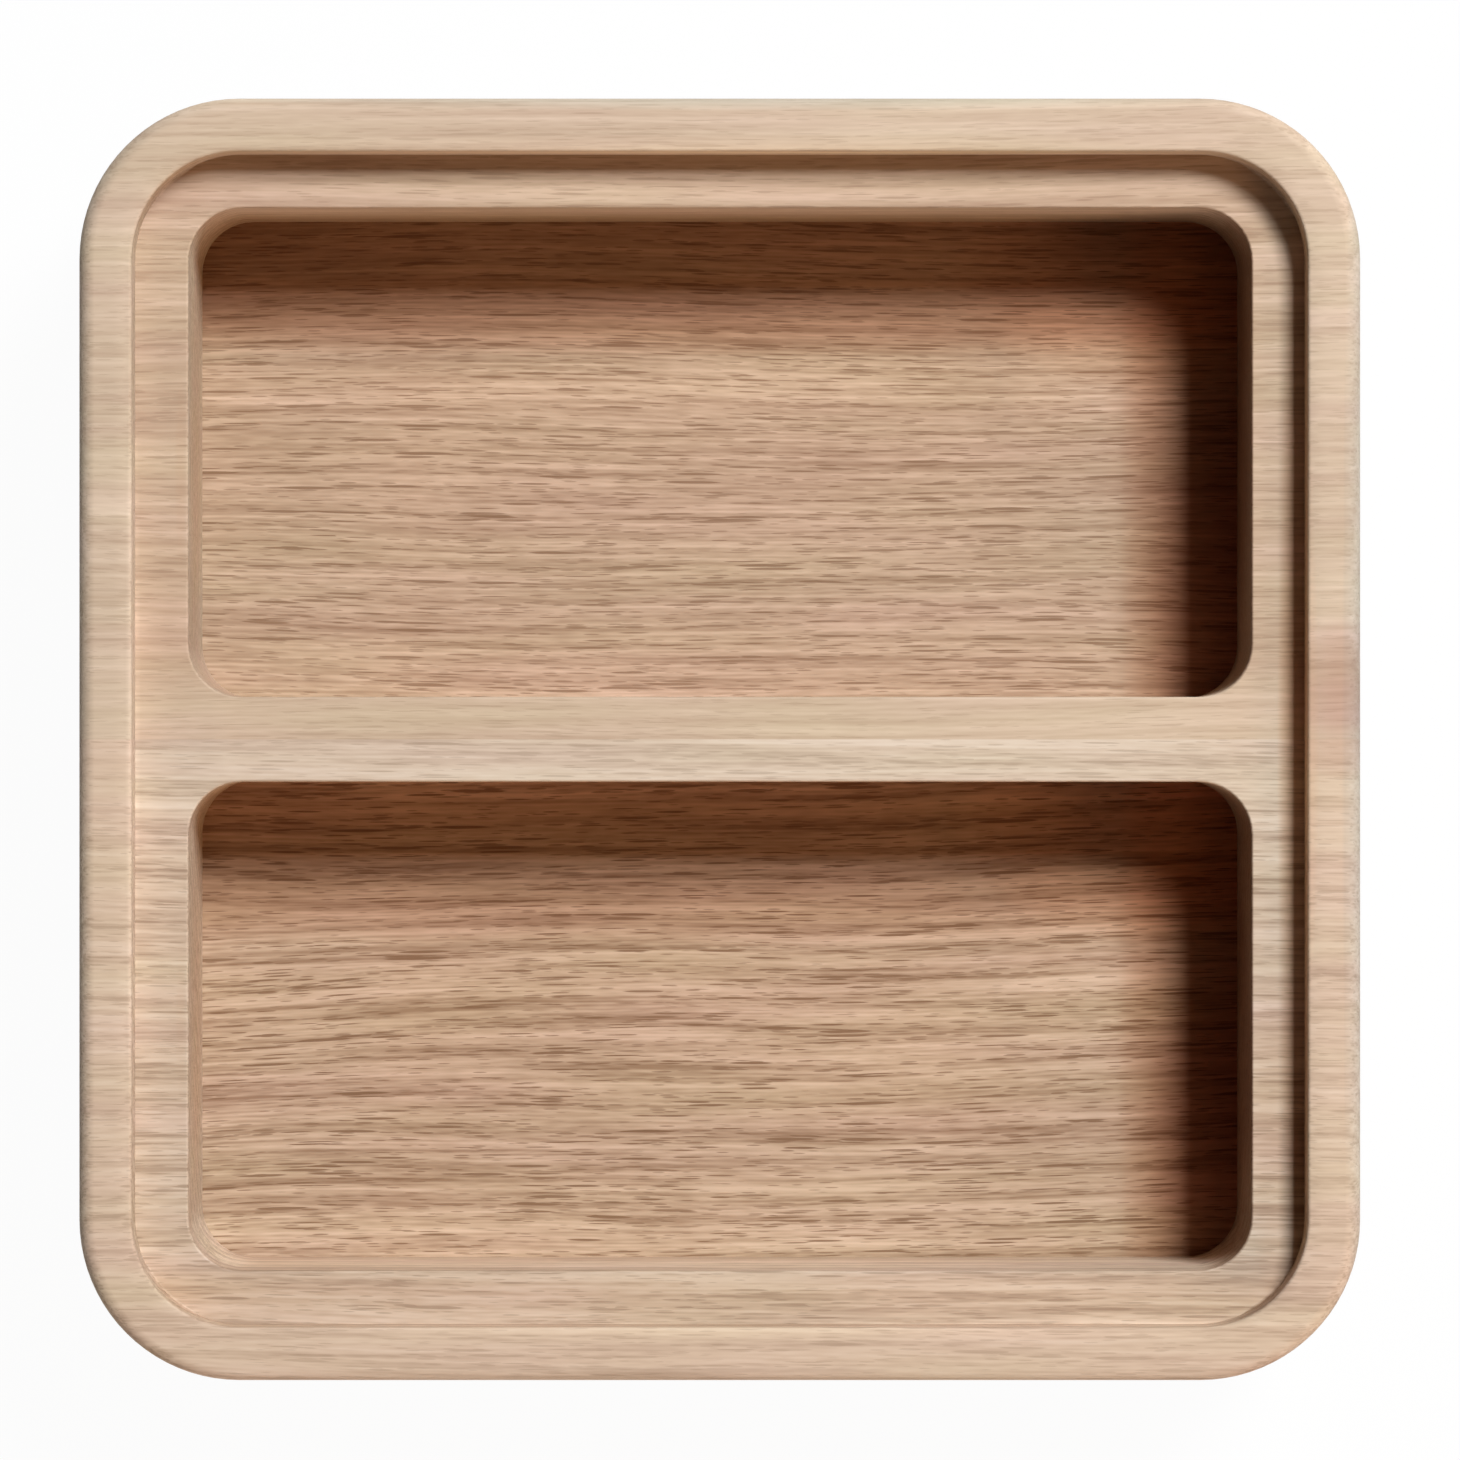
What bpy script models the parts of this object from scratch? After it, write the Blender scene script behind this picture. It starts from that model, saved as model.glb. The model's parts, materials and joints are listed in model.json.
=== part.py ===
"""Two-compartment oak box: a low body with two pockets routed through it, on a base board.

Sizes are in metres, +Z is up and the grain runs along X. The origin is the middle of the face that
the box stands on. Boxes of this kind stack: the base stands out below the body as a foot, and the
foot of one box drops into the rebate of the next.
"""

import math

import bmesh
import bpy

# Body, which is edge-glued from two staves
BOX_LENGTH = 0.120
BOX_WIDTH = 0.120
BODY_THICKNESS = 0.026
OUTER_CORNER_RADIUS = 0.015
OUTER_ARRIS = 0.0013

# Rim, and the rebate inside it that takes the foot of the next box
RIM_WALL = 0.005
RIM_INNER_ARRIS = 0.0004
REBATE_DEPTH = 0.0045

# Two pockets side by side, routed through the body from the ledge at the bottom of the rebate
LEDGE_WIDTH = 0.005
DIVIDER_WIDTH = 0.008
POCKET_CORNER_RADIUS = 0.005
MOUTH_ARRIS = 0.0004

# Base, let into the body's underside. What stands out below is the foot, with room in a rebate's sides
BASE_THICKNESS = 0.006
BASE_LET_IN = 0.002
FOOT_SIDE_CLEARANCE = 0.0005
FOOT_ARRIS = 0.0005

# Every glue joint, between the staves and between the base and the body
GLUE_LINE = 0.0003

# Facets of the milled curves, and how far a blank or a cutter runs past the finished box
CORNER_STEPS = 12
ARRIS_STEPS = 4
LEAST_RADIUS = 0.0002
OVERRUN = 0.004
SHARP_ANGLE = math.radians(35)

SHOULDER_HEIGHT = BASE_THICKNESS - BASE_LET_IN
BOX_HEIGHT = SHOULDER_HEIGHT + BODY_THICKNESS
LEDGE_HEIGHT = BOX_HEIGHT - REBATE_DEPTH
POCKET_INSET = RIM_WALL + LEDGE_WIDTH
POCKET_LENGTH = BOX_LENGTH - 2 * POCKET_INSET
POCKET_WIDTH = (BOX_WIDTH - 2 * POCKET_INSET - DIVIDER_WIDTH) / 2
POCKET_OFFSET = (DIVIDER_WIDTH + POCKET_WIDTH) / 2
FOOT_INSET = RIM_WALL + FOOT_SIDE_CLEARANCE


def clear_scene():
    """Removes whatever the file opened with."""
    for obj in list(bpy.data.objects):
        bpy.data.objects.remove(obj, do_unlink=True)


def oak(name, colour):
    """Sanded oak without stain or gloss."""
    material = bpy.data.materials.new(name)
    material.use_nodes = True
    shader = material.node_tree.nodes["Principled BSDF"]
    shader.inputs["Base Color"].default_value = (*colour, 1.0)
    shader.inputs["Roughness"].default_value = 0.6
    shader.inputs["Metallic"].default_value = 0.0
    return material


def arc(inset, height, radius, start, end):
    """Profile points on an arc round (inset, height), from one angle to another in degrees.

    At 0 degrees the point lies inwards of the centre, and at 90 degrees it lies above it.
    """
    points = []
    for step in range(ARRIS_STEPS + 1):
        turn = math.radians(start + (end - start) * step / ARRIS_STEPS)
        points.append((inset + radius * math.cos(turn), height + radius * math.sin(turn)))
    return points


def rounded_rectangle(length, width, radius, centre_y, height):
    """Level outline with round corners, anticlockwise as seen from above."""
    radius = max(radius, LEAST_RADIUS)
    points = []
    for quarter, (side_x, side_y) in enumerate(((1, 1), (-1, 1), (-1, -1), (1, -1))):
        middle_x = side_x * (length / 2 - radius)
        middle_y = centre_y + side_y * (width / 2 - radius)
        for step in range(CORNER_STEPS + 1):
            turn = math.pi / 2 * (quarter + step / CORNER_STEPS)
            points.append((middle_x + radius * math.cos(turn), middle_y + radius * math.sin(turn), height))
    return points


def milled_form(name, length, width, radius, centre_y, profile):
    """Solid swept round a rounded rectangle. The profile holds (inset, height) pairs, bottom to top."""
    form = bmesh.new()
    rings = []
    for inset, height in profile:
        outline = rounded_rectangle(length - 2 * inset, width - 2 * inset, radius - inset, centre_y, height)
        rings.append([form.verts.new(point) for point in outline])
    for lower, upper in zip(rings, rings[1:]):
        for here in range(len(lower)):
            ahead = (here + 1) % len(lower)
            form.faces.new((lower[here], lower[ahead], upper[ahead], upper[here]))
    form.faces.new(reversed(rings[0]))
    form.faces.new(rings[-1])
    mesh = bpy.data.meshes.new(name)
    form.to_mesh(mesh)
    form.free()
    solid = bpy.data.objects.new(name, mesh)
    solid.hide_render = True
    solid.display_type = "WIRE"
    bpy.context.scene.collection.objects.link(solid)
    return solid


def box_form(name, profile):
    """Solid whose profile is inset from the outside of the whole box."""
    return milled_form(name, BOX_LENGTH, BOX_WIDTH, OUTER_CORNER_RADIUS, 0.0, profile)


def body_blank():
    """Outside of the body: its walls, and their rounded edges at the bottom and the top."""
    profile = [
        *arc(OUTER_ARRIS, SHOULDER_HEIGHT + OUTER_ARRIS, OUTER_ARRIS, 270, 180),
        *arc(OUTER_ARRIS, BOX_HEIGHT - OUTER_ARRIS, OUTER_ARRIS, 180, 90),
    ]
    return box_form("body_blank", profile)


def base_board():
    """The base, whose corners follow those of the body. Its lower edge is eased, as a foot's is."""
    profile = [
        *arc(FOOT_INSET + FOOT_ARRIS, FOOT_ARRIS, FOOT_ARRIS, 270, 180),
        (FOOT_INSET, BASE_THICKNESS),
    ]
    return box_form("base_board", profile)


def base_recess_cutter():
    """The recess in the body's underside that the base is glued into."""
    inset = FOOT_INSET - GLUE_LINE
    return box_form("base_recess_cutter", [(inset, -OVERRUN), (inset, BASE_THICKNESS + GLUE_LINE)])


def rebate_cutter():
    """The shallow recess inside the rim. It opens out at the top to round the rim's inner edge."""
    profile = [
        (RIM_WALL, LEDGE_HEIGHT),
        *arc(RIM_WALL - RIM_INNER_ARRIS, BOX_HEIGHT - RIM_INNER_ARRIS, RIM_INNER_ARRIS, 0, 90),
        (RIM_WALL - RIM_INNER_ARRIS, BOX_HEIGHT + OVERRUN),
    ]
    return box_form("rebate_cutter", profile)


def pocket_cutter(name, centre_y):
    """One compartment, from below the body to the ledge, where it opens out to ease the mouth."""
    profile = [
        (0.0, -OVERRUN),
        *arc(-MOUTH_ARRIS, LEDGE_HEIGHT - MOUTH_ARRIS, MOUTH_ARRIS, 0, 90),
        (-MOUTH_ARRIS, BOX_HEIGHT + OVERRUN),
    ]
    return milled_form(name, POCKET_LENGTH, POCKET_WIDTH, POCKET_CORNER_RADIUS, centre_y, profile)


def combine(target, tool, operation):
    """Applies a Boolean of the tool to the target."""
    boolean = target.modifiers.new(tool.name, "BOOLEAN")
    boolean.operation = operation
    boolean.object = tool
    bpy.context.view_layer.objects.active = target
    bpy.ops.object.modifier_apply(modifier=boolean.name)


def milled_body():
    """The body as one solid, which its two staves are the halves of."""
    body = body_blank()
    recess = base_recess_cutter()
    rebate = rebate_cutter()
    front_pocket = pocket_cutter("front_pocket_cutter", -POCKET_OFFSET)
    rear_pocket = pocket_cutter("rear_pocket_cutter", POCKET_OFFSET)
    for cutter in (recess, rebate, front_pocket, rear_pocket):
        combine(body, cutter, "DIFFERENCE")
        bpy.data.objects.remove(cutter, do_unlink=True)
    return body


def stave(name, side, colour, whole, box):
    """The half of a glued-up board on one side of its middle joint: -1 is the front and 1 the rear."""
    joint = GLUE_LINE / 2
    edge = BOX_WIDTH / 2 + OVERRUN
    height = BOX_HEIGHT + 2 * OVERRUN
    bpy.ops.mesh.primitive_cube_add(size=1.0, location=(0.0, side * (joint + edge) / 2, BOX_HEIGHT / 2))
    piece = bpy.context.object
    piece.name = name
    piece.data.name = name
    piece.scale = (BOX_LENGTH + 2 * OVERRUN, edge - joint, height)
    bpy.ops.object.transform_apply(location=False, rotation=False, scale=True)
    combine(piece, whole, "INTERSECT")
    piece.data.shade_smooth()
    piece.data.set_sharp_from_angle(angle=SHARP_ANGLE)
    piece.data.materials.append(oak(name + "_oak", colour))
    piece.parent = box


def build():
    """Mills the body and the base, and keeps each as its two staves."""
    clear_scene()
    body = milled_body()
    base = base_board()
    box = bpy.data.objects.new("two_compartment_box", None)
    bpy.context.scene.collection.objects.link(box)
    stave("body_stave_front", -1, (0.67, 0.50, 0.37), body, box)
    stave("body_stave_rear", 1, (0.66, 0.48, 0.36), body, box)
    stave("base_stave_front", -1, (0.53, 0.35, 0.23), base, box)
    stave("base_stave_rear", 1, (0.56, 0.37, 0.25), base, box)
    bpy.data.objects.remove(body, do_unlink=True)
    bpy.data.objects.remove(base, do_unlink=True)


build()
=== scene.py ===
"""Looks of a two-compartment oak box: its wood, and the light and the camera of the photograph.

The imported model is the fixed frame, in metres with +Z up and the grain along X. The sections follow
the box as it is glued up: base, body, then the table, the light and the camera.
"""

import json
import math

import bmesh
import bpy
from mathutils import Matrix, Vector


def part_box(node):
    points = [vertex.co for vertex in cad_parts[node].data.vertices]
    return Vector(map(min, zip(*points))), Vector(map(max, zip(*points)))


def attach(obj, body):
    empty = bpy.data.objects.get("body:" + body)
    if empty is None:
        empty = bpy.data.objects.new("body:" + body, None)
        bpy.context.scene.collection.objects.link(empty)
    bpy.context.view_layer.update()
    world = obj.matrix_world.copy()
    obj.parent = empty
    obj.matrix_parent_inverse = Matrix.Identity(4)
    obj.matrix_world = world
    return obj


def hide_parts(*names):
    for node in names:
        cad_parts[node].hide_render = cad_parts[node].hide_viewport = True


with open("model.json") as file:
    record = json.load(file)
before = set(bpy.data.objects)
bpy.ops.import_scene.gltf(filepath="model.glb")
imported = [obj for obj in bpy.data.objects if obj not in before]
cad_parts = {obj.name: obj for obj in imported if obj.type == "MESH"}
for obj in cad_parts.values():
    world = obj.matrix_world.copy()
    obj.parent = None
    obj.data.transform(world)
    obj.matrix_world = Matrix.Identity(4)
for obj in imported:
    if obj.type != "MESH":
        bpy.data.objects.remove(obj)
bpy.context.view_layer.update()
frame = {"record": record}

# ---- Base board
# A 6 mm board of plain-sawn oak, darker and redder than the body, edge-glued from two staves. It is
# glued into the underside of the body: its top is the floor of both pockets, and the 4 mm that stand
# out below are the foot that drops into the rebate of the next box.

FOOT_CORNER = 0.0095
FOOT_CORNER_STEPS = 14
FOOT_ARRIS = 0.0005
FOOT_ARRIS_STEPS = 4
SAME_HEIGHT = 2e-5
SMOOTH_ANGLE = math.radians(35)
MILLIMETRES = 1000.0


def pick(piece, kind, test):
    """Selects the edges or the faces of a piece in edit mode that pass the test, and nothing else."""
    bpy.ops.mesh.select_mode(type="FACE" if kind == "faces" else "EDGE")
    bpy.ops.mesh.select_all(action="DESELECT")
    mesh = bmesh.from_edit_mesh(piece.data)
    for part in getattr(mesh, kind):
        if test(part):
            part.select_set(True)
    mesh.select_flush_mode()
    bmesh.update_edit_mesh(piece.data)


def upright(edge):
    """True for an edge that runs straight up."""
    along = (edge.verts[1].co - edge.verts[0].co).normalized()
    return abs(along.z) > 0.99


def level_edge(edge, height):
    """True for an edge that lies level at one height."""
    return all(abs(v.co.z - height) < SAME_HEIGHT for v in edge.verts)


def level_face(face, facing):
    """True for a face that looks straight up (1) or straight down (-1)."""
    return face.normal.z * facing > 0.9


def wall_face(face):
    """True for a face that stands upright."""
    return abs(face.normal.z) < 0.1


def rim_edge(edge, height, facing, sign):
    """True for an edge at one height, between a level face and a wall that faces out (1) or in (-1)."""
    levels = [face for face in edge.link_faces if level_face(face, facing)]
    walls = [face for face in edge.link_faces if wall_face(face)]
    if not level_edge(edge, height) or len(levels) != 1 or len(walls) != 1 or len(edge.link_faces) != 2:
        return False
    return (walls[0].calc_center_median() * Vector((1, 1, 0))).dot(walls[0].normal) * sign > 0


def block(name, low, high, corner, steps):
    """Sawn blank from one corner to the other, with its four upright edges rounded on the router."""
    bpy.ops.object.select_all(action="DESELECT")
    bpy.ops.mesh.primitive_cube_add(size=1.0, location=(low + high) / 2)
    piece = bpy.context.object
    piece.name = name
    piece.data.name = name
    piece.scale = high - low
    bpy.ops.object.transform_apply(location=True, rotation=False, scale=True)
    bpy.ops.object.mode_set(mode="EDIT")
    pick(piece, "edges", upright)
    bpy.ops.mesh.bevel(offset=corner, segments=steps, affect="EDGES")
    bpy.ops.object.mode_set(mode="OBJECT")
    return piece


def half(whole, name, side):
    """Own copy of one stave: the front one (-1) or the rear one (1) of a board glued at Y = 0."""
    bpy.ops.object.select_all(action="DESELECT")
    piece = whole.copy()
    piece.data = whole.data.copy()
    piece.name = name
    piece.data.name = name
    bpy.context.scene.collection.objects.link(piece)
    bpy.context.view_layer.objects.active = piece
    piece.select_set(True)
    bpy.ops.object.mode_set(mode="EDIT")
    bpy.ops.mesh.select_all(action="SELECT")
    bpy.ops.mesh.bisect(
        plane_co=(0, 0, 0),
        plane_no=(0, 1, 0),
        use_fill=True,
        clear_inner=side > 0,
        clear_outer=side < 0,
    )
    bpy.ops.object.mode_set(mode="OBJECT")
    bpy.ops.object.shade_smooth_by_angle(angle=SMOOTH_ANGLE)
    weighted = piece.modifiers.new("flat faces stay flat", "WEIGHTED_NORMAL")
    weighted.keep_sharp = True
    weighted.weight = 90
    bpy.ops.object.modifier_apply(modifier=weighted.name)
    return piece


class Wire:
    """One output socket of a material's nodes, with Python's arithmetic on it."""

    def __init__(self, tree, socket):
        self.tree = tree
        self.socket = socket

    def node(self, kind, settings, inputs, output=0):
        """New node of a type: its settings first, then the value or the link of each socket."""
        made = self.tree.nodes.new(kind)
        for name, value in settings.items():
            if name == "stops":
                ramp = made.color_ramp.elements
                while len(ramp) < len(value):
                    ramp.new(0.5)
                for element, (position, colour) in zip(ramp, value):
                    element.position = position
                    element.color = (*colour, 1.0)
            else:
                setattr(made, name, value)
        for name, value in inputs.items():
            if isinstance(value, Wire):
                self.tree.links.new(value.socket, made.inputs[name])
            else:
                made.inputs[name].default_value = value
        return Wire(self.tree, made.outputs[output])

    def also(self, output):
        """Another output of the node that this one comes from."""
        return Wire(self.tree, self.socket.node.outputs[output])

    def math(self, operation, first, second=0.0, clamp=False):
        """Math node on one value or two."""
        settings = {"operation": operation, "use_clamp": clamp}
        return self.node("ShaderNodeMath", settings, {0: first, 1: second})

    def __add__(self, other):
        return self.math("ADD", self, other)

    def __radd__(self, other):
        return self.math("ADD", other, self)

    def __sub__(self, other):
        return self.math("SUBTRACT", self, other)

    def __rsub__(self, other):
        return self.math("SUBTRACT", other, self)

    def __mul__(self, other):
        return self.math("MULTIPLY", self, other)

    def __rmul__(self, other):
        return self.math("MULTIPLY", other, self)

    def __truediv__(self, other):
        return self.math("DIVIDE", self, other)

    def __pow__(self, other):
        return self.math("POWER", self, other)

    def clamped(self):
        """The value, kept between 0 and 1."""
        return self.math("ADD", self, 0.0, clamp=True)

    def stretched(self, along, across):
        """Coordinates in units of this many millimetres along the grain and across it."""
        cell = (along, across, across)
        return self.node("ShaderNodeVectorMath", {"operation": "DIVIDE"}, {0: self, 1: cell})

    def noise(self, along, across, detail=0.0):
        """Noise about zero, in fibres of this many millimetres along the grain and across it."""
        cloud = self.node(
            "ShaderNodeTexNoise",
            {"noise_dimensions": "3D"},
            {"Vector": self.stretched(along, across), "Scale": 1.0, "Detail": detail},
        )
        return (cloud - 0.5) * 2.0

    def vessels(self, along, across, reach):
        """Dark marks, 0 to 1, where a cut opens the long thin cells of oak, of mixed strength."""
        near = self.node(
            "ShaderNodeTexVoronoi",
            {"voronoi_dimensions": "3D", "feature": "F1"},
            {"Vector": self.stretched(along, across), "Scale": 1.0, "Randomness": 1.0},
        )
        chance = near.also("Color")
        crisp = 12.0
        mark = ((reach * (chance + 0.5) - near) * crisp).clamped()
        return mark * (chance * 1.4 - 0.05).clamped()

    def blend(self, share, other, kind="MIX"):
        """The colour, turned into another one or multiplied by it, in part or by a mask."""
        # A Mix node has its colours in sockets 6 and 7, and gives a colour in socket 2
        settings = {"data_type": "RGBA", "blend_type": kind}
        return self.node("ShaderNodeMix", settings, {0: share, 6: self, 7: other}, output=2)


def oak(name, wood):
    """Solid oak, cut from a log that lies along X. Every pattern is in millimetres of real wood."""
    material = bpy.data.materials.new(name)
    material.use_nodes = True
    tree = material.node_tree
    shader = tree.nodes["Principled BSDF"]
    here = Wire(tree, tree.nodes.new("ShaderNodeTexCoord").outputs["Object"])

    # Place in the log, in millimetres, with the grain turned a little and its lines swaying slowly
    log = here.node(
        "ShaderNodeMapping",
        {"vector_type": "POINT"},
        {
            "Vector": here,
            "Location": wood["place"],
            "Rotation": (0.0, 0.0, math.radians(wood["slope"])),
            "Scale": (MILLIMETRES, MILLIMETRES, MILLIMETRES),
        },
    )
    sway = log.noise(70.0, 20.0) * wood["sway"] + log.noise(24.0, 7.0) * wood["sway"] * 0.15
    lift = log.node("ShaderNodeCombineXYZ", {}, {"Y": sway, "Z": sway * 0.6})
    grain = log.node("ShaderNodeVectorMath", {"operation": "ADD"}, {0: log, 1: lift})

    # Place on the box, in millimetres. Sanding wears the figure off the rim, and the pale sapwood
    # along the glue line has less of it
    spot = here.node("ShaderNodeVectorMath", {"operation": "SCALE"}, {0: here, "Scale": MILLIMETRES})
    height = spot.node("ShaderNodeSeparateXYZ", {}, {"Vector": spot}, output="Z")
    below = (wood["rim"] - 1.0 - height).clamped()
    sapwood = (1.0 - (height.also("Y") / wood["sapwood"]) ** 2.0).clamped()
    finish = (wood["sanded"] + below * (1.0 - wood["sanded"])) * (1.0 - sapwood * 0.3)

    # Growth rings: each begins with a band of wide pores and ends in dense late wood
    across = grain.node("ShaderNodeSeparateXYZ", {}, {"Vector": grain}, output="Y")
    pith_y, pith_z = wood["pith"]
    off_y = across - pith_y
    off_z = across.also("Z") - pith_z
    radius = (off_y * off_y + off_z * off_z) ** 0.5
    season = radius / wood["ring"] + grain.noise(40.0, 5.0) * 0.6
    phase = season.math("FRACT", season)
    openness = ((0.0, 0.3), (0.10, 1.0), (0.40, 0.7), (0.70, 0.0), (0.93, 0.0))
    stops = [(position, (share, share, share)) for position, share in openness]
    early = phase.node("ShaderNodeValToRGB", {"stops": stops}, {"Fac": phase})

    # Pores: long dark scratches where a cut opens a vessel, many in the early wood and few in the
    # late, and here and there the thin dark line of a single deep vessel
    wide = grain.vessels(7.0, 0.37, 0.23 + early * 0.12)
    fine = grain.vessels(2.6, 0.23, 0.25 + early * 0.10)
    line = grain.vessels(8.0, 0.25, 0.21)
    pore = (wide * 0.95 + fine * 0.7 + line * line * 1.3).clamped() * wood["pores"]

    # Fibres between the pores, and slow drifts of tone
    fibre = (grain.noise(12.0, 0.25) + grain.noise(2.3, 0.24) * 0.65) * wood["fibre"]
    band = grain.noise(50.0, 0.75) * wood["band"]
    drift = grain.noise(45.0, 12.0) * wood["drift"]
    tone = 0.5 + (fibre + band - (early - 0.35) * wood["season"]) * finish + drift
    stops = [(0.0, wood["dark"]), (0.5, wood["plain"]), (1.0, wood["light"])]
    colour = tone.node("ShaderNodeValToRGB", {"stops": stops}, {"Fac": tone})
    hue = grain.noise(30.0, 4.0, detail=1.0) * 0.9 + 0.5
    yellower, pinker = (1.0, 1.0, 0.93), (1.03, 0.955, 0.98)
    hue = hue.node("ShaderNodeValToRGB", {"stops": [(0.0, yellower), (1.0, pinker)]}, {"Fac": hue})
    colour = colour.blend(wood["hue"], hue, "MULTIPLY")
    colour = colour.blend(pore * finish, (*wood["pore"], 1.0))

    # Places: a middle and a reach in millimetres, and a tint. Some stand for paler, darker or redder
    # wood. Many are painted shade and painted light, which deepen, lift or redden shadows that the
    # lamps don't give in full. A place with a side as well is only on the faces that look there
    normal = here.node("ShaderNodeNewGeometry", {}, {}, output="Normal")
    for middle, reach, tint, *sides in wood["places"]:
        off = spot.node("ShaderNodeVectorMath", {"operation": "SUBTRACT"}, {0: spot, 1: middle})
        off = off.node("ShaderNodeVectorMath", {"operation": "DIVIDE"}, {0: off, 1: reach})
        off = off.node("ShaderNodeVectorMath", {"operation": "LENGTH"}, {0: off}, output="Value")
        share = (1.0 - off * off + drift).clamped()
        for side in sides:
            dot = {"operation": "DOT_PRODUCT"}
            facing = normal.node("ShaderNodeVectorMath", dot, {0: normal, 1: side}, output="Value")
            share = share * (facing * 1.5).clamped()
        colour = colour.blend(share, (*tint, 1.0), "MULTIPLY")

    # Level faces below the rim are a little darker in the photograph. End grain drinks more light, so
    # the faces that look along X are darker and greyer
    lengthways = normal.node("ShaderNodeSeparateXYZ", {}, {"Vector": normal})
    routed = lengthways.also("Z").clamped() * below
    colour = colour.blend(routed, (*wood["routed"], 1.0), "MULTIPLY")
    end = lengthways.math("ABSOLUTE", lengthways) ** 4.0
    colour = colour.blend(end.clamped(), (0.90, 0.96, 1.0, 1.0), "MULTIPLY")

    # Sanded and unvarnished, so it is matt, and the open pores are the roughest and lie deepest
    tree.links.new(colour.socket, shader.inputs["Base Color"])
    rough = 0.60 + pore * 0.15 + fibre * 0.15
    tree.links.new(rough.socket, shader.inputs["Roughness"])
    relief = fibre * 0.25 - pore
    carving = {"Strength": 0.35, "Distance": 0.00006, "Height": relief}
    bump = relief.node("ShaderNodeBump", {}, carving)
    tree.links.new(bump.socket, shader.inputs["Normal"])
    shader.inputs["Metallic"].default_value = 0.0
    shader.inputs["Specular IOR Level"].default_value = 0.12
    return material


base_low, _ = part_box("base_stave_front")
_, base_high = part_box("base_stave_rear")
base = block("base_board", base_low, base_high, FOOT_CORNER, FOOT_CORNER_STEPS)
bpy.ops.object.mode_set(mode="EDIT")
pick(base, "edges", lambda edge: rim_edge(edge, base_low.z, -1, 1))
bpy.ops.mesh.bevel(offset=FOOT_ARRIS, segments=FOOT_ARRIS_STEPS, affect="EDGES")
bpy.ops.object.mode_set(mode="OBJECT")

POCKET_MIDDLE = 27.0


def floor_end(middle):
    """Tints that deepen the shadow at the right end of a floor that has its middle at this Y."""
    return (
        ((54.0, middle, 6.0), (17.5, 60.0, 12.0), (0.86, 0.72, 0.62)),
        ((52.0, middle, 6.0), (8.0, 60.0, 12.0), (0.67, 0.45, 0.37)),
    )


# Lengths are in millimetres and the slope of the grain in degrees. Pores, fibre, band, drift, season
# and hue say how strong each pattern is, and sanded is the share of it that is left on the rim
base_wood = {
    "place": (0.0, 0.0, 0.0),
    "slope": -1.5,
    "sway": 1.7,
    "pith": (-75.0, -50.0),
    "ring": 1.9,
    "rim": 30.0,
    "sanded": 0.65,
    "sapwood": 0.1,
    "routed": (1.0, 1.0, 1.0),
    "pores": 0.88,
    "fibre": 0.42,
    "band": 0.45,
    "drift": 0.08,
    "season": 0.28,
    "hue": 0.8,
    "dark": (0.342, 0.213, 0.131),
    "plain": (0.522, 0.362, 0.245),
    "light": (0.680, 0.492, 0.355),
    "pore": (0.225, 0.118, 0.062),
    "places": (
        # Painted shade: the floor darker towards the left end wall, against the light that wall throws
        # onto it
        ((-52.0, -POCKET_MIDDLE, 6.0), (22.0, 60.0, 12.0), (0.94, 0.98, 1.0)),
        *floor_end(-POCKET_MIDDLE),
        # Painted shade: redder on the soft edge of the shadow that the right end wall casts
        ((43.5, -POCKET_MIDDLE, 6.0), (5.0, 60.0, 12.0), (1.09, 0.93, 0.83)),
        # Painted light: the soft edge of the right end wall's shadow lifted over part of its length
        ((36.0, -19.0, 6.0), (9.0, 15.0, 12.0), (1.11, 1.09, 1.07)),
        # Painted shade: the shadow at the right end of the floor made deeper and redder over part of
        # its length
        ((51.0, -38.0, 6.0), (10.0, 20.0, 12.0), (0.85, 0.62, 0.60)),
        ((32.0, -48.0, 6.0), (22.0, 7.0, 12.0), (0.89, 0.87, 0.86)),
        ((-44.0, -8.5, 6.0), (14.0, 8.0, 12.0), (0.90, 0.85, 0.83)),
        ((0.0, -24.0, 6.0), (200.0, 6.0, 12.0), (1.05, 1.06, 1.06)),
        ((22.0, -33.0, 6.0), (24.0, 8.0, 12.0), (1.08, 1.08, 1.08)),
        # Painted light: the floor beside the divider, in its shadow, lifted and paler, and the strip
        # along its foot more so
        ((0.0, 0.0, 6.0), (200.0, 12.0, 12.0), (1.16, 1.06, 1.02)),
        ((0.0, -4.0, 6.0), (200.0, 2.5, 6.0), (1.26, 1.32, 1.50)),
        # Painted shade: redder in the shaded rear right corner of the floor
        ((44.0, -8.0, 6.0), (22.0, 12.0, 12.0), (1.13, 0.91, 0.78)),
        # Painted shade: redder along the soft edge of the shadow that the divider casts
        ((0.0, -15.0, 6.0), (200.0, 5.0, 12.0), (1.04, 0.92, 0.86)),
        ((0.0, -50.0, 6.0), (200.0, 7.0, 6.0), (1.09, 1.15, 1.16)),
    ),
}
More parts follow.
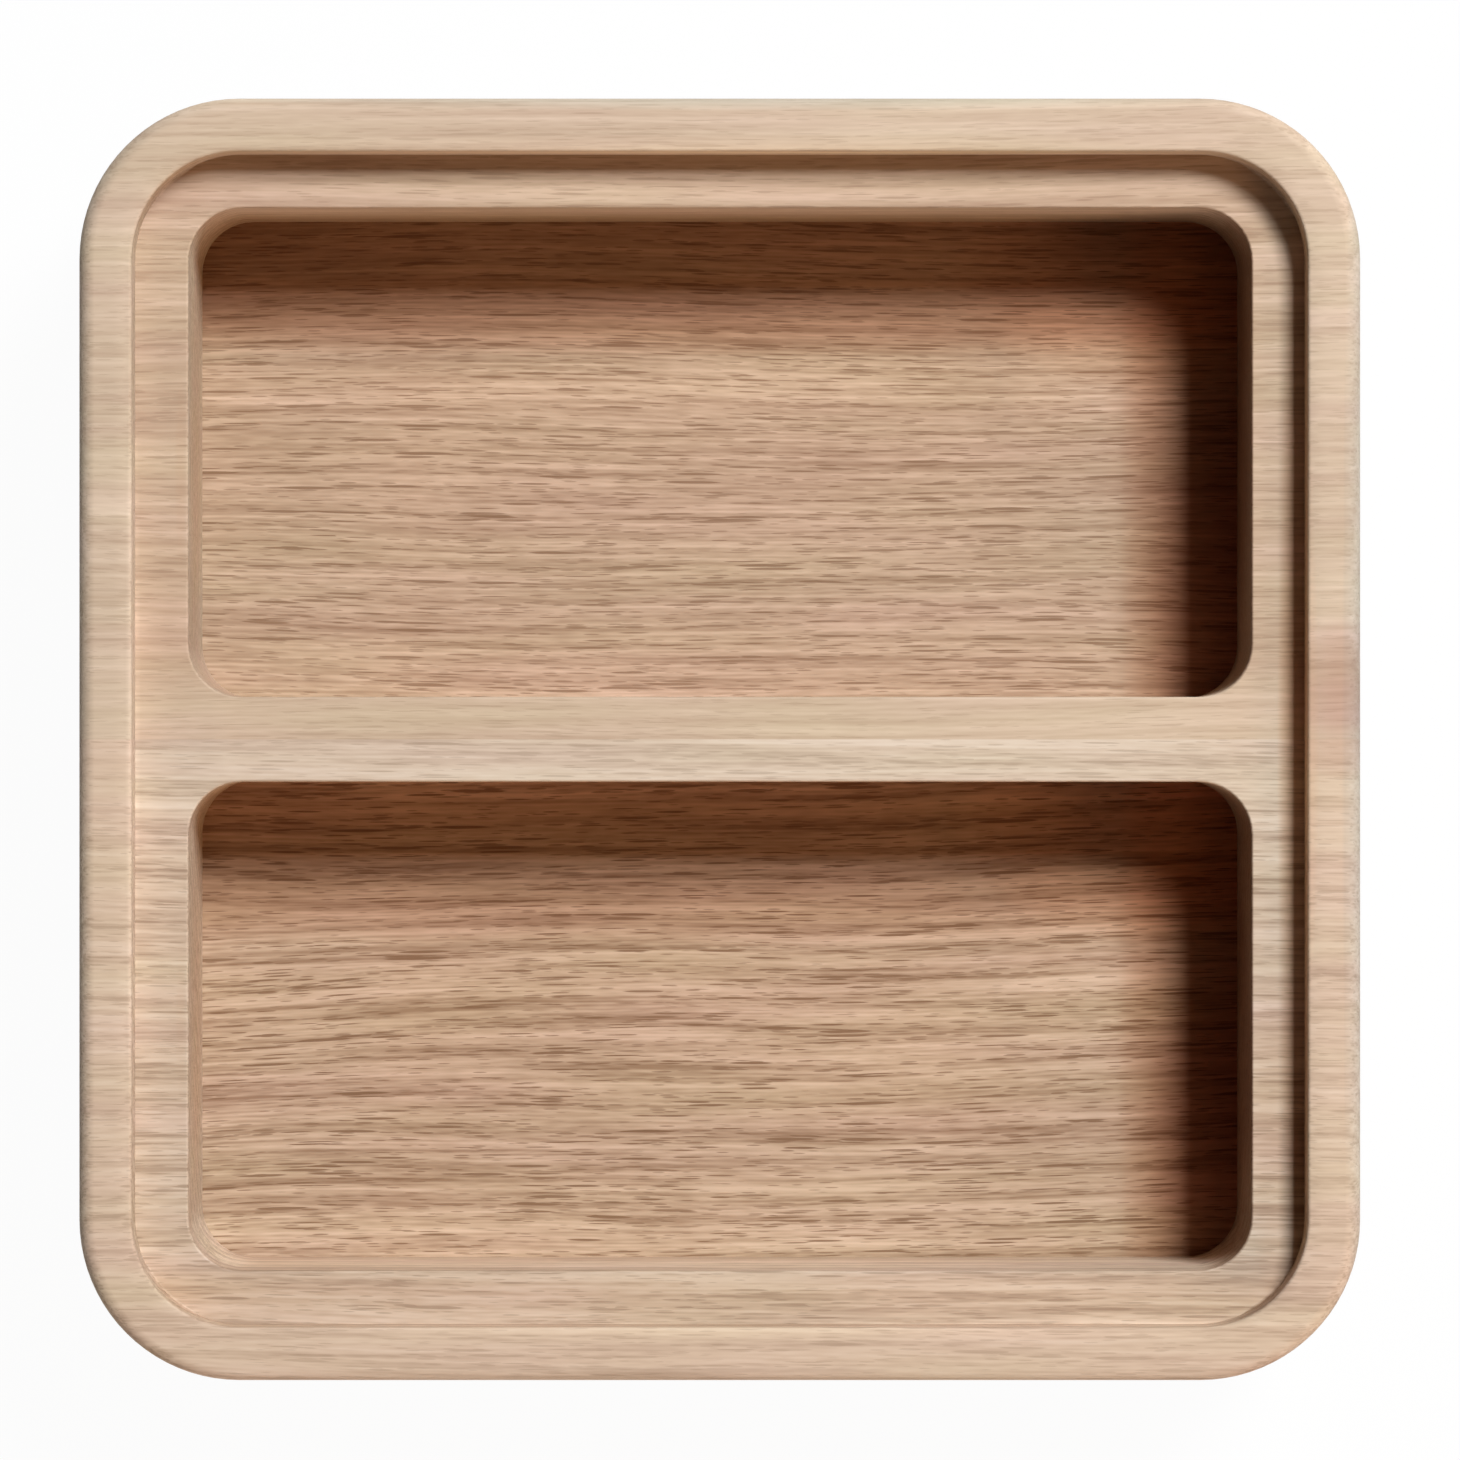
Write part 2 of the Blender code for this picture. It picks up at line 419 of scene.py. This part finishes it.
rear_base_wood = {
    **base_wood,
    "place": (210.0, -35.0, 12.0),
    "slope": 0.4,
    "sway": 1.3,
    "pith": (-70.0, -30.0),
    "ring": 1.3,
    "pores": 0.72,
    "fibre": 0.45,
    "band": 0.42,
    "season": 0.18,
    "dark": (0.380, 0.245, 0.157),
    "plain": (0.525, 0.366, 0.251),
    "light": (0.680, 0.492, 0.355),
    "places": (
        # Painted shade: the floor darker towards the left end wall, against the light that wall throws
        # onto it
        ((-52.0, POCKET_MIDDLE, 6.0), (22.0, 60.0, 12.0), (0.91, 0.95, 0.95)),
        *floor_end(POCKET_MIDDLE),
        # Painted shade: redder on the soft edge of the shadow that the right end wall casts
        ((43.5, POCKET_MIDDLE, 6.0), (5.0, 60.0, 12.0), (1.08, 0.90, 0.80)),
        # Painted light: the soft edge of the right end wall's shadow lifted over part of its length
        ((36.0, 36.0, 6.0), (9.0, 14.0, 12.0), (1.10, 1.08, 1.06)),
        # Painted shade: the shadow at the right end of the floor made deeper and redder over part of
        # its length
        ((51.0, 14.0, 6.0), (10.0, 22.0, 12.0), (0.85, 0.62, 0.60)),
        # Painted shade: redder in the shaded rear right corner of the floor
        ((44.0, 45.0, 6.0), (22.0, 12.0, 12.0), (1.05, 0.86, 0.74)),
        # Painted light: the soft edge of the rear wall's shadow lifted
        ((25.0, 38.3, 6.0), (50.0, 3.5, 12.0), (1.08, 1.08, 1.06)),
        # Painted shade: the floor in the rear wall's shadow darker and redder
        ((0.0, 54.0, 6.0), (200.0, 17.0, 12.0), (0.93, 0.83, 0.80)),
        ((-48.0, 48.0, 6.0), (24.0, 9.0, 12.0), (0.78, 0.70, 0.66)),
        # Painted shade: redder along the soft edge of the rear wall's shadow
        ((0.0, 41.0, 6.0), (200.0, 4.0, 12.0), (1.04, 0.91, 0.83)),
        # Painted light: the outer part of the rear wall's soft shadow edge lifted
        ((0.0, 34.5, 6.0), (200.0, 4.0, 12.0), (1.10, 1.10, 1.11)),
    ),
}
base_staves = (("base_stave_front", -1, base_wood), ("base_stave_rear", 1, rear_base_wood))
for name, side, wood in base_staves:
    piece = half(base, name + "_wood", side)
    piece.data.materials.clear()
    piece.data.materials.append(oak(name + "_oak", wood))
    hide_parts(name)
    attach(piece, "root")
bpy.data.objects.remove(base, do_unlink=True)

# ---- Body
# A 26 mm board of paler oak, edge-glued from two staves along the divider. The outside is routed to
# rounded corners, the rebate and the two pockets are routed from above and the recess for the base
# from below, and every edge is rounded over by sanding.

BODY_CORNER = 0.015
BODY_CORNER_STEPS = 20
OUTER_ARRIS = 0.0016
OUTER_ARRIS_STEPS = 6
SIDE_ARRIS_SHARE = 0.70
RIM_WALL = 0.005
RIM_CROWN = 0.0017
RIM_CROWN_DROP = 0.00018
RIM_CROWN_STEPS = 5
RIM_INNER_ARRIS = 0.00025
LEDGE_WIDTH = 0.005
DIVIDER_WIDTH = 0.008
POCKET_CORNER = 0.005
POCKET_CORNER_STEPS = 10
MOUTH_ARRIS = 0.00025
MOUTH_MARGIN = 0.001
INNER_ARRIS_STEPS = 3
ROUTER_SPARE = 0.01
FACING_UP = (0.0, 0.0, 1.0)
FACING_LEFT = (-1.0, 0.0, 0.0)

body_low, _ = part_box("body_stave_front")
_, body_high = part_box("body_stave_rear")
ledge_height = next(m["pos_m"][2] for m in frame["record"]["mounts"] if m["name"] == "rebate_ledge")
body = block("body", body_low, body_high, BODY_CORNER, BODY_CORNER_STEPS)

# Rim, whose inner part falls away in a gentle curve, and the rebate inside it
bpy.ops.object.mode_set(mode="EDIT")
pick(body, "faces", lambda face: level_face(face, 1))
bpy.ops.mesh.inset(thickness=RIM_WALL - RIM_CROWN, use_even_offset=True)
for step in range(RIM_CROWN_STEPS):
    drop = RIM_CROWN_DROP * ((step + 1) ** 2 - step ** 2) / RIM_CROWN_STEPS ** 2
    bpy.ops.mesh.inset(thickness=RIM_CROWN / RIM_CROWN_STEPS, depth=-drop, use_even_offset=True)
rim_edge_height = body_high.z - RIM_CROWN_DROP
rebate = (0, 0, ledge_height - rim_edge_height)
bpy.ops.mesh.extrude_region_move(TRANSFORM_OT_translate={"value": rebate})

# Recess for the base board
pick(body, "faces", lambda face: level_face(face, -1))
bpy.ops.mesh.inset(thickness=body_high.x - base_high.x, use_even_offset=True)
recess = (0, 0, base_high.z - body_low.z)
bpy.ops.mesh.extrude_region_move(TRANSFORM_OT_translate={"value": recess})
bpy.ops.object.mode_set(mode="OBJECT")

# Pockets
pocket_inset = RIM_WALL + LEDGE_WIDTH
for side in (-1, 1):
    near = side * DIVIDER_WIDTH / 2
    far = side * (body_high.y - pocket_inset)
    reach = body_high.x - pocket_inset
    low = Vector((-reach, min(near, far), -ROUTER_SPARE))
    high = Vector((reach, max(near, far), body_high.z + ROUTER_SPARE))
    cutter = block("pocket_router", low, high, POCKET_CORNER, POCKET_CORNER_STEPS)
    pocket = body.modifiers.new("pocket", "BOOLEAN")
    pocket.operation = "DIFFERENCE"
    pocket.object = cutter
    bpy.context.view_layer.objects.active = body
    bpy.ops.object.modifier_apply(modifier=pocket.name)
    bpy.data.objects.remove(cutter, do_unlink=True)


def mouth_edge(edge):
    """True for an edge round a pocket's mouth, and in the middle of the rebate's four foot corners."""
    reach = body_high.x - RIM_WALL - MOUTH_MARGIN
    inside = all(abs(v.co.x) < reach and abs(v.co.y) < reach for v in edge.verts)
    return level_edge(edge, ledge_height) and inside and any(map(wall_face, edge.link_faces))


bpy.ops.object.select_all(action="DESELECT")
body.select_set(True)
bpy.ops.object.mode_set(mode="EDIT")
pick(body, "edges", mouth_edge)
bpy.ops.mesh.bevel(offset=MOUTH_ARRIS, segments=INNER_ARRIS_STEPS, affect="EDGES")
pick(body, "edges", lambda edge: rim_edge(edge, rim_edge_height, 1, -1))
bpy.ops.mesh.bevel(offset=RIM_INNER_ARRIS, segments=INNER_ARRIS_STEPS, affect="EDGES")
pick(body, "edges", lambda edge: rim_edge(edge, body_low.z, -1, 1))
bpy.ops.mesh.bevel(offset=OUTER_ARRIS, segments=OUTER_ARRIS_STEPS, affect="EDGES")

# The outer top edge is sanded rounder across the ends than along the sides
mesh = bmesh.from_edit_mesh(body.data)
weight = mesh.edges.layers.float.new("bevel_weight_edge")
for edge in mesh.edges:
    if rim_edge(edge, body_high.z, 1, 1):
        across_end = max(abs(face.normal.x) for face in edge.link_faces)
        edge[weight] = SIDE_ARRIS_SHARE + (1.0 - SIDE_ARRIS_SHARE) * across_end ** 2
bmesh.update_edit_mesh(body.data)
bpy.ops.object.mode_set(mode="OBJECT")
easing = body.modifiers.new("outer edge", "BEVEL")
easing.limit_method = "WEIGHT"
easing.width = OUTER_ARRIS
easing.segments = OUTER_ARRIS_STEPS
bpy.ops.object.modifier_apply(modifier=easing.name)


def both_ends(middle):
    """Tints that both staves have at their ends, round a pocket with its middle at this Y."""
    # The first deepens the shadow on the pocket's right end wall, and isn't the colour of the wood
    return (
        ((50.0, middle, 14.0), (6.0, 45.0, 36.0), (0.28, 0.18, 0.14), FACING_LEFT),
        ((-50.7, middle, 15.0), (1.3, 25.0, 11.5), (0.96, 0.84, 0.75)),
        # Painted shade: the right outer edge, which faces the lamp, darker and greyer, taking down the
        # light it catches
        ((60.3, 0.0, 29.5), (2.2, 75.0, 2.5), (0.76, 0.86, 0.96)),
        # Painted light: the rebate's left wall lifted and paler
        ((-55.0, 0.0, 27.8), (0.9, 55.0, 2.8), (1.25, 1.27, 1.32)),
        ((-52.0, 0.0, 25.5), (6.0, 8.0, 4.0), (0.92, 0.92, 0.94)),
        # Painted shade: the rebate's shadow on the right ledge and on its right wall made redder
        ((54.8, 0.0, 26.8), (2.5, 60.0, 3.6), (1.18, 0.94, 0.76)),
    )


body_wood = {
    **base_wood,
    "place": (-130.0, 55.0, 31.0),
    "slope": 0.4,
    "sway": 1.2,
    "pith": (120.0, -40.0),
    "ring": 2.2,
    "sapwood": 10.0,
    "pores": 0.55,
    "fibre": 0.47,
    "band": 0.54,
    "drift": 0.12,
    "season": 0.26,
    "routed": (0.92, 0.94, 0.96),
    "dark": (0.520, 0.375, 0.268),
    "plain": (0.690, 0.526, 0.387),
    "light": (0.800, 0.640, 0.495),
    "pore": (0.350, 0.230, 0.150),
    "places": (
        ((0.0, -4.0, 18.0), (200.0, 12.0, 12.0), (1.14, 1.22, 1.25), FACING_UP),
        *both_ends(-POCKET_MIDDLE),
        # Painted light: the front pocket's front wall, which faces the lamp, lighter and paler
        ((0.0, -50.8, 16.5), (200.0, 2.0, 9.0), (1.30, 1.36, 1.42)),
        ((-48.5, -48.5, 15.0), (5.0, 5.0, 11.0), (1.15, 1.20, 1.24)),
        ((0.0, -52.3, 25.5), (200.0, 2.4, 4.0), (0.97, 0.91, 0.86)),
        # Painted light: along the front of the rim, its inner edge, its outer edge and the rebate's
        # front wall lifted
        ((0.0, -55.6, 30.0), (58.0, 1.0, 2.0), (1.07, 1.08, 1.07)),
        ((0.0, -60.0, 29.5), (58.0, 1.6, 2.5), (1.05, 1.08, 1.11)),
        ((0.0, -55.2, 28.0), (55.0, 1.0, 2.6), (1.10, 1.09, 1.08)),
        ((36.0, -55.2, 28.0), (36.0, 1.3, 3.5), (1.13, 1.13, 1.14)),
        # Painted shade: the rebate's shadow on the right ledge redder over the front half
        ((52.5, -37.0, 25.5), (3.0, 18.0, 2.0), (0.98, 0.90, 0.85)),
        ((25.0, -52.0, 24.0), (20.0, 3.0, 6.0), (1.07, 1.07, 1.08)),
        ((58.0, 0.0, 28.0), (4.2, 4.0, 8.0), (0.88, 0.81, 0.81)),
    ),
}
rear_body_wood = {
    **body_wood,
    "place": (90.0, -160.0, 18.0),
    "slope": -0.3,
    "pores": 0.42,
    "fibre": 0.31,
    "band": 0.44,
    "pith": (-150.0, -55.0),
    "ring": 2.0,
    "routed": (0.93, 0.88, 0.85),
    "plain": (0.649, 0.506, 0.371),
    "places": (
        ((0.0, 0.0, 18.0), (200.0, 11.0, 12.0), (1.10, 1.18, 1.22), FACING_UP),
        ((58.0, 5.0, 28.0), (4.2, 6.5, 8.0), (0.81, 0.68, 0.68)),
        ((-51.5, 12.0, 22.0), (3.5, 7.0, 12.0), (0.90, 0.87, 0.86)),
        ((-56.0, 32.0, 25.0), (9.0, 30.0, 5.0), (0.90, 0.91, 0.92)),
        *both_ends(POCKET_MIDDLE),
        ((0.0, 52.0, 25.5), (200.0, 5.0, 4.0), (0.90, 0.89, 0.89)),
        # Painted light: the rebate's rear wall and the shadow it casts on the ledge lifted
        ((0.0, 55.2, 27.8), (55.0, 1.0, 2.6), (1.38, 1.42, 1.38)),
        # Painted shade: the rear outer edge, which faces the lamp, darker and greyer, taking down the
        # light it catches
        ((0.0, 60.3, 29.5), (55.0, 1.6, 2.5), (0.84, 0.93, 0.98)),
        # Painted light: the rim's inner edge at the rear, turned away from the lamp, lifted
        ((0.0, 55.6, 30.0), (55.0, 1.0, 2.0), (1.07, 1.06, 1.06)),
        ((-48.5, 6.0, 15.0), (4.0, 5.0, 11.0), (1.0, 0.93, 0.93)),
    ),
}
body_staves = (("body_stave_front", -1, body_wood), ("body_stave_rear", 1, rear_body_wood))
for name, side, wood in body_staves:
    piece = half(body, name + "_wood", side)
    piece.data.materials.clear()
    piece.data.materials.append(oak(name + "_oak", wood))
    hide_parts(name)
    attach(piece, "root")
bpy.data.objects.remove(body, do_unlink=True)

# ---- Table
# A plain white sheet under the box. The camera sees it as white, with a trace of the box's shadow
# left on it, and it sends the lamps' light back up at the outer walls as white card does.

TABLE_WIDTH = 8.0
TABLE_GAP = 0.0002
WHITE_SHARE = 0.965

bpy.ops.object.select_all(action="DESELECT")
bpy.ops.mesh.primitive_plane_add(size=TABLE_WIDTH, location=(0.0, 0.0, -TABLE_GAP))
table = bpy.context.object
table.name = "table"
card = bpy.data.materials.new("white_card")
card.use_nodes = True
card_tree = card.node_tree
card_tree.nodes.remove(card_tree.nodes["Principled BSDF"])
rays = card_tree.nodes.new("ShaderNodeLightPath")
seen = Wire(card_tree, rays.outputs["Is Camera Ray"])
seen = seen + seen.also("Is Glossy Ray") + seen.also("Is Transmission Ray")
paper = seen.node("ShaderNodeBsdfDiffuse", {}, {"Color": (0.86, 0.86, 0.86, 1.0)})
white = seen.node("ShaderNodeEmission", {}, {"Color": (1.0, 1.0, 1.0, 1.0), "Strength": 1.0})
both = seen.node("ShaderNodeMixShader", {}, {0: seen.clamped() * WHITE_SHARE, 1: paper, 2: white})
card_tree.links.new(both.socket, card_tree.nodes["Material Output"].inputs["Surface"])
table.data.materials.append(card)

# ---- Light
# A large cool softbox beyond the rear right corner, some 37 degrees off the vertical, gives most of
# the light and the shadows in the pockets. A weak warm one stands in front to the right, and a card in
# front sends a low light back, which opens the rear walls but doesn't reach the floors. The room is
# dim, and white to the camera.


def softbox(name, place, width, depth, share, colour):
    """Panel that looks straight down from a place measured from the rim, for a share of full light."""
    panel = bpy.data.lights.new(name, "AREA")
    panel.shape = "RECTANGLE"
    panel.size = width
    panel.size_y = depth
    panel.color = colour
    panel.energy = math.pi ** 2 * share * Vector(place).length_squared
    lamp = bpy.data.objects.new(name, panel)
    lamp.location = Vector(place) + Vector((0.0, 0.0, body_high.z))
    bpy.context.scene.collection.objects.link(lamp)
    return lamp


softbox(
    "rear_right_softbox",
    place=(0.606, 0.775, 1.3),
    width=0.500,
    depth=0.610,
    share=1.475,
    colour=(0.920, 0.964, 1.0),
)
softbox(
    "front_right_softbox",
    place=(1.15, -0.90, 1.0),
    width=0.70,
    depth=0.70,
    share=0.235,
    colour=(1.0, 0.56, 0.28),
)
front_card = softbox(
    "front_card",
    place=(0.10, -1.20, 0.225),
    width=0.80,
    depth=0.33,
    share=0.30,
    colour=(1.0, 0.87, 0.78),
)
front_card.rotation_euler = (math.radians(90.0), 0.0, 0.0)

room = bpy.data.worlds.new("room")
room.use_nodes = True
bpy.context.scene.world = room
room_tree = room.node_tree
room_rays = room_tree.nodes.new("ShaderNodeLightPath")
room_seen = Wire(room_tree, room_rays.outputs["Is Camera Ray"])
room_seen = room_seen + room_seen.also("Is Transmission Ray")
warm_grey, white_wall = (1.0, 0.85, 0.7, 1.0), (1.0, 1.0, 1.0, 1.0)
dim = room_seen.node("ShaderNodeBackground", {}, {"Color": warm_grey, "Strength": 0.02})
bright = room_seen.node("ShaderNodeBackground", {}, {"Color": white_wall, "Strength": 1.0})
shown = room_seen.node("ShaderNodeMixShader", {}, {0: room_seen.clamped(), 1: dim, 2: bright})
room_tree.links.new(shown.socket, room_tree.nodes["World Output"].inputs["Surface"])

# ---- Camera
# Straight above the middle of the box, so many pocket depths over the rim that as much of the
# pockets' walls shows as in the photograph. The box stands a little low and left in the frame.

PHOTO_WIDTH = 0.1365
POCKET_DEPTHS_AWAY = 36.5
FRAME_SHIFT = (0.0070, 0.0064)

distance = POCKET_DEPTHS_AWAY * (ledge_height - base_high.z)
camera_data = bpy.data.cameras.new("camera")
camera_data.sensor_width = 36.0
camera_data.lens = camera_data.sensor_width * distance / PHOTO_WIDTH
camera_data.shift_x, camera_data.shift_y = FRAME_SHIFT
camera = bpy.data.objects.new("camera", camera_data)
camera.location = (0.0, 0.0, body_high.z + distance)
bpy.context.scene.collection.objects.link(camera)
bpy.context.scene.camera = camera
bpy.context.scene.view_settings.view_transform = "Standard"
